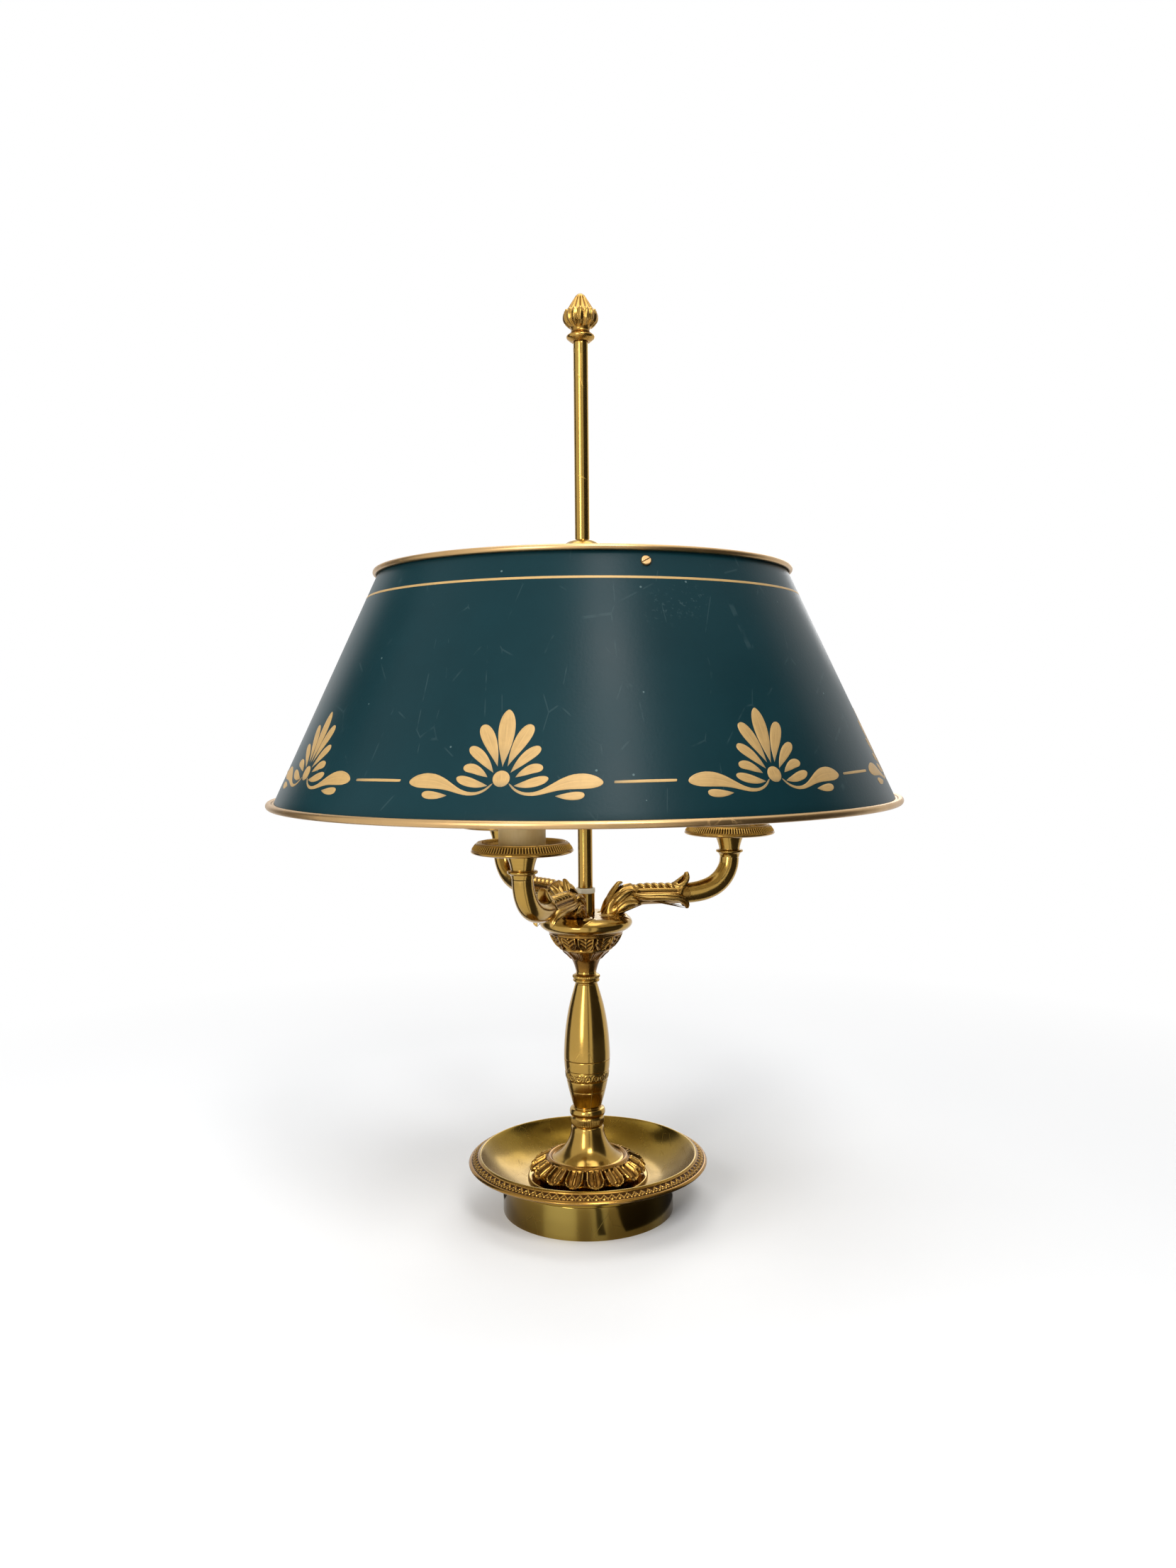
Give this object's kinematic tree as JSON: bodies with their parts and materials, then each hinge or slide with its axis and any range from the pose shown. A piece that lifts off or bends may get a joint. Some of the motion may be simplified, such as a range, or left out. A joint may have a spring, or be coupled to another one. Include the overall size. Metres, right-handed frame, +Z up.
{
  "type": "bouillotte lamp",
  "caption": "Table lamp with candle arms on a brass column in a pan-shaped foot, and a painted metal cone shade that slides and turns on the centre rod.",
  "frame": {"origin": "on the table, at the axis of the lamp", "axes": "+Z up along the centre rod; -Y is the front, the side the picture shows"},
  "size_m": [0.3799, 0.38, 0.5595],
  "materials": {
    "polished_brass": "polished, lightly worn",
    "antique_brass": "cast, darkened in the hollows",
    "shade_paint": "satin paint with gold ornament",
    "gold_paint": "satin gold paint",
    "cream_plastic": "satin",
    "candle_card": "matt",
    "holder_plastic": "moulded",
    "felt": "felt",
    "iron": "cast",
    "steel": "zinc plated",
    "black_rubber": "moulded",
    "flex": "insulated wire"
  },
  "bodies": {
    "stand": {"base_felt": "felt", "base_drum": "polished_brass", "base_weight": "iron", "base_washer": "steel", "base_nut": "steel", "cable_bush": "black_rubber", "drip_pan": "antique_brass", "foot_disc": "polished_brass", "leaf_collar": "antique_brass", "flared_foot": "polished_brass", "foot_ring": "polished_brass", "vase_column": "polished_brass", "neck_ring": "polished_brass", "arm_cup": "polished_brass", "cup_cover": "polished_brass", "tie_pipe": "steel", "rod_sleeve": "polished_brass", "rod_spacer": "cream_plastic", "centre_rod": "polished_brass", "arm_nuts": "steel", "arm_wires": "flex", "arm_nipples": "steel", "socket_contacts": "polished_brass", "arm_1": "antique_brass", "candle_cup_1": "polished_brass", "drip_ring_1": "antique_brass", "lamp_holder_1": "holder_plastic", "candle_sleeve_1": "candle_card", "arm_2": "antique_brass", "candle_cup_2": "polished_brass", "drip_ring_2": "antique_brass", "lamp_holder_2": "holder_plastic", "candle_sleeve_2": "candle_card", "arm_3": "antique_brass", "candle_cup_3": "polished_brass", "drip_ring_3": "antique_brass", "lamp_holder_3": "holder_plastic", "candle_sleeve_3": "candle_card"},
    "collar": {"slide_collar": "polished_brass", "dome_nut": "polished_brass"},
    "shade": {"shade_cone": "shade_paint", "shade_bottom_rim": "gold_paint", "shade_top_rim": "gold_paint", "spider": "polished_brass", "shade_screws": "gold_paint", "shade_nuts": "steel"},
    "key": {"clamp_key": "polished_brass"},
    "finial_knob": {"finial": "polished_brass"}
  },
  "joints": [
    {"name": "shade_slide", "type": "slide", "parent": "stand", "child": "collar", "axis": [0, 0, 1], "range_m": [-0.015, 0.115]},
    {"name": "shade_turn", "type": "hinge", "parent": "collar", "child": "shade", "pos_m": [0, 0, 0.4], "axis": [0, 0, 1], "continuous": true},
    {"name": "key_turn", "type": "hinge", "parent": "collar", "child": "key", "pos_m": [0, 0, 0.38166], "axis": [-0.2588, 0.9659, 0], "range_deg": [0, 360]},
    {"name": "finial_turn", "type": "hinge", "parent": "stand", "child": "finial_knob", "pos_m": [0, 0, 0.535], "axis": [0, 0, 1], "continuous": true}
  ]
}
